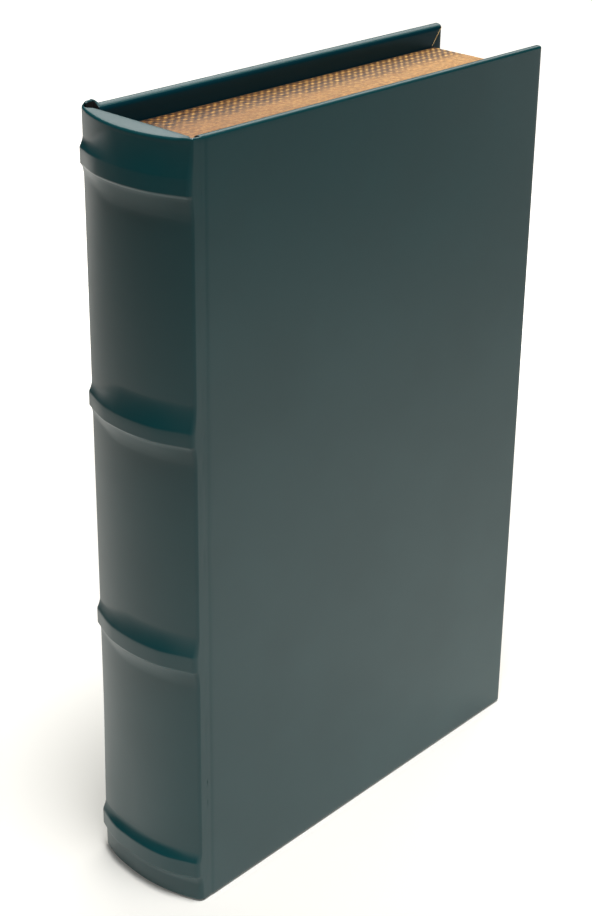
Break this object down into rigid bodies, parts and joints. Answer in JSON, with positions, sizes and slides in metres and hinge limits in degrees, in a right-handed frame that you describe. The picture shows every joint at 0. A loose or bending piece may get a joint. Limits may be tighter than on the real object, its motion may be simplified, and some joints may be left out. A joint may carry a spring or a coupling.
{
  "type": "faux leather journal",
  "caption": "Thick upright journal bound in dark teal faux leather, with a rounded banded spine, textured golden page edges and two covers that open.",
  "frame": {"origin": "on the standing surface, under the middle of the closed book's bounding box", "axes": "+X from the rounded spine to the fore-edge, +Y from the front cover to the back cover, +Z from tail to head"},
  "size_m": [0.1556, 0.0426, 0.24],
  "materials": {
    "faux_leather": "smooth satin faux leather",
    "page_edges": "cut page edges with a fine golden brown lattice",
    "endpaper": "smooth dark endpaper",
    "board": "raw grey board",
    "spine_lining": "open cotton cloth with paste"
  },
  "bodies": {
    "book_block": {"text_block": "page_edges", "front_flyleaf": "endpaper", "back_flyleaf": "endpaper", "spine_lining": "spine_lining", "spine_former": "board", "raised_band_1": "board", "raised_band_2": "board", "raised_band_3": "board", "raised_band_4": "board", "spine_leather": "faux_leather"},
    "front_cover": {"front_board": "board", "front_cover_leather": "faux_leather", "front_pastedown": "endpaper"},
    "back_cover": {"back_board": "board", "back_cover_leather": "faux_leather", "back_pastedown": "endpaper"}
  },
  "joints": [
    {"name": "front_cover_hinge", "type": "hinge", "parent": "book_block", "child": "front_cover", "pos_m": [-0.06965, -0.0214, 0], "axis": [0, 0, -1], "range_deg": [0, 175]},
    {"name": "back_cover_hinge", "type": "hinge", "parent": "book_block", "child": "back_cover", "pos_m": [-0.06965, 0.0214, 0], "axis": [0, 0, 1], "range_deg": [0, 175]}
  ]
}
